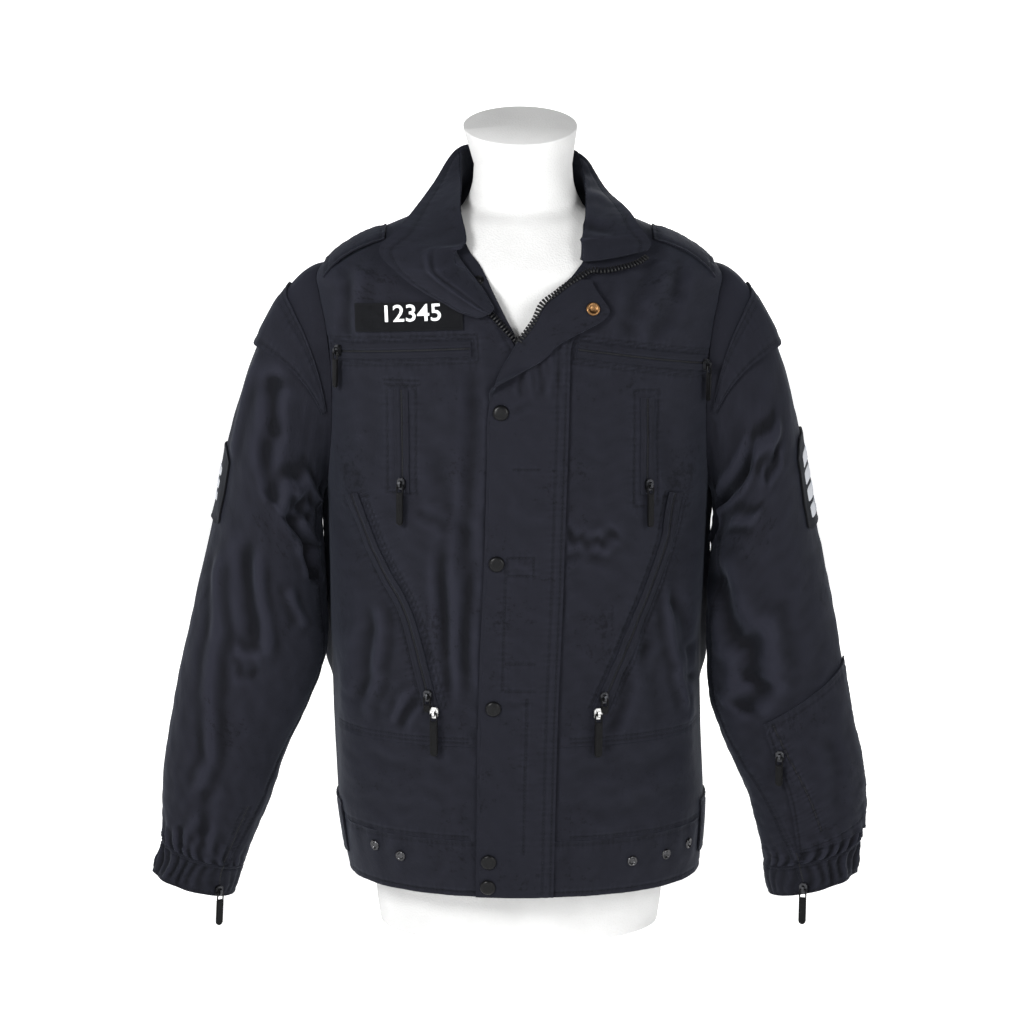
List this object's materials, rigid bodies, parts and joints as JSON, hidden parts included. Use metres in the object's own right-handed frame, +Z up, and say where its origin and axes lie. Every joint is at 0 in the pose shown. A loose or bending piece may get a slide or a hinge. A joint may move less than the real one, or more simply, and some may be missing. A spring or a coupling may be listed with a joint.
{
  "type": "long sleeved duty jacket on a limbless foam dress form",
  "caption": "Waist-length duty jacket with stand collar, storm flap, zipped pockets and gathered cuffs, worn by a limbless dress form on a flat base.",
  "frame": {"origin": "centre of the dress form's flat base, on the surface it stands on", "axes": "+Z up; the jacket's front faces -Y; +X is the viewer's right when looking at the front"},
  "size_m": [0.7443, 0.2926, 0.8597],
  "materials": {
    "cloth": "matte dark navy twill",
    "cuff_cloth": "matte dark navy gathered twill",
    "zip_strip": "matte dark zip tape and welts",
    "patch": "matte black woven patch",
    "foam": "white rigid foam, matt and slightly rough",
    "pull": "satin black",
    "slider": "dark plated metal",
    "snap": "black enamel snap cap",
    "socket": "plain brass snap socket"
  },
  "bodies": {
    "garment": {"arm_patch_left": "patch", "arm_patch_right": "patch", "back_panel": "cloth", "chest_pocket_left": "zip_strip", "chest_pocket_right": "zip_strip", "collar": "cloth", "cuff_left": "cuff_cloth", "cuff_right": "cuff_cloth", "dress_form": "foam", "flap_snap_1": "snap", "flap_snap_2": "snap", "flap_snap_3": "snap", "flap_snap_4": "snap", "flap_snap_5": "snap", "flap_socket": "socket", "forearm_pocket": "cloth", "front_left": "cloth", "front_lower_left": "cloth", "front_lower_right": "cloth", "front_right": "cloth", "hem_band": "cloth", "name_tape": "patch", "shoulder_loop_left": "cloth", "shoulder_loop_right": "cloth", "side_tab_left": "cloth", "side_tab_right": "cloth", "slant_pocket_left": "zip_strip", "slant_pocket_right": "zip_strip", "sleeve_cap_left": "cloth", "sleeve_cap_right": "cloth", "sleeve_top_left": "cloth", "sleeve_top_right": "cloth", "sleeve_under_left": "cloth", "sleeve_under_right": "cloth", "slider_chest_left": "slider", "slider_chest_right": "slider", "slider_cuff_left": "slider", "slider_cuff_right": "slider", "slider_diagonal_left_lower": "slider", "slider_diagonal_left_upper": "slider", "slider_diagonal_right_lower": "slider", "slider_diagonal_right_upper": "slider", "slider_forearm": "slider", "slider_vertical_left": "slider", "slider_vertical_right": "slider", "storm_flap": "cloth", "underlap": "cloth", "upright_pocket_left": "zip_strip", "upright_pocket_right": "zip_strip"},
    "pull_chest_left": {"pull_chest_left": "pull"},
    "pull_chest_right": {"pull_chest_right": "pull"},
    "pull_cuff_left": {"pull_cuff_left": "pull"},
    "pull_cuff_right": {"pull_cuff_right": "pull"},
    "pull_diagonal_left_lower": {"pull_diagonal_left_lower": "pull"},
    "pull_diagonal_left_upper": {"pull_diagonal_left_upper": "pull"},
    "pull_diagonal_right_lower": {"pull_diagonal_right_lower": "pull"},
    "pull_diagonal_right_upper": {"pull_diagonal_right_upper": "pull"},
    "pull_forearm": {"pull_forearm": "pull"},
    "pull_vertical_left": {"pull_vertical_left": "pull"},
    "pull_vertical_right": {"pull_vertical_right": "pull"}
  },
  "joints": [
    {"name": "pull_chest_left_swing", "type": "hinge", "parent": "garment", "child": "pull_chest_left", "pos_m": [-0.18552, -0.0828, 0.6141], "axis": [-0.6773, 0.7357, 0], "range_deg": [0, 150]},
    {"name": "pull_chest_right_swing", "type": "hinge", "parent": "garment", "child": "pull_chest_right", "pos_m": [0.19202, -0.07497, 0.59887], "axis": [-0.5956, -0.8033, 0], "range_deg": [0, 150]},
    {"name": "pull_cuff_left_swing", "type": "hinge", "parent": "garment", "child": "pull_cuff_left", "pos_m": [-0.30763, -0.10667, 0.05772], "axis": [-0.8058, -0.5922, 0], "range_deg": [0, 150]},
    {"name": "pull_cuff_right_swing", "type": "hinge", "parent": "garment", "child": "pull_cuff_right", "pos_m": [0.29115, -0.11448, 0.06292], "axis": [-0.965, 0.2624, 0], "range_deg": [0, 150]},
    {"name": "pull_diagonal_left_lower_swing", "type": "hinge", "parent": "garment", "child": "pull_diagonal_left_lower", "pos_m": [-0.08621, -0.14622, 0.2548], "axis": [-0.9639, 0.2662, 0], "range_deg": [0, 120]},
    {"name": "pull_diagonal_left_upper_swing", "type": "hinge", "parent": "garment", "child": "pull_diagonal_left_upper", "pos_m": [-0.09295, -0.14465, 0.27182], "axis": [-0.9553, 0.2957, 0], "range_deg": [0, 150]},
    {"name": "pull_diagonal_right_lower_swing", "type": "hinge", "parent": "garment", "child": "pull_diagonal_right_lower", "pos_m": [0.07967, -0.1465, 0.25386], "axis": [-0.9652, -0.2615, 0], "range_deg": [0, 120]},
    {"name": "pull_diagonal_right_upper_swing", "type": "hinge", "parent": "garment", "child": "pull_diagonal_right_upper", "pos_m": [0.08591, -0.145, 0.26986], "axis": [-0.9571, -0.2899, 0], "range_deg": [0, 150]},
    {"name": "pull_forearm_swing", "type": "hinge", "parent": "garment", "child": "pull_forearm", "pos_m": [0.26628, -0.10189, 0.19878], "axis": [-0.9655, 0.2605, 0], "range_deg": [0, 150]},
    {"name": "pull_vertical_left_swing", "type": "hinge", "parent": "garment", "child": "pull_vertical_left", "pos_m": [-0.11908, -0.13369, 0.48517], "axis": [-0.912, 0.4103, 0], "range_deg": [0, 150]},
    {"name": "pull_vertical_right_swing", "type": "hinge", "parent": "garment", "child": "pull_vertical_right", "pos_m": [0.13115, -0.12646, 0.48303], "axis": [-0.8733, -0.4873, 0], "range_deg": [0, 150]}
  ]
}
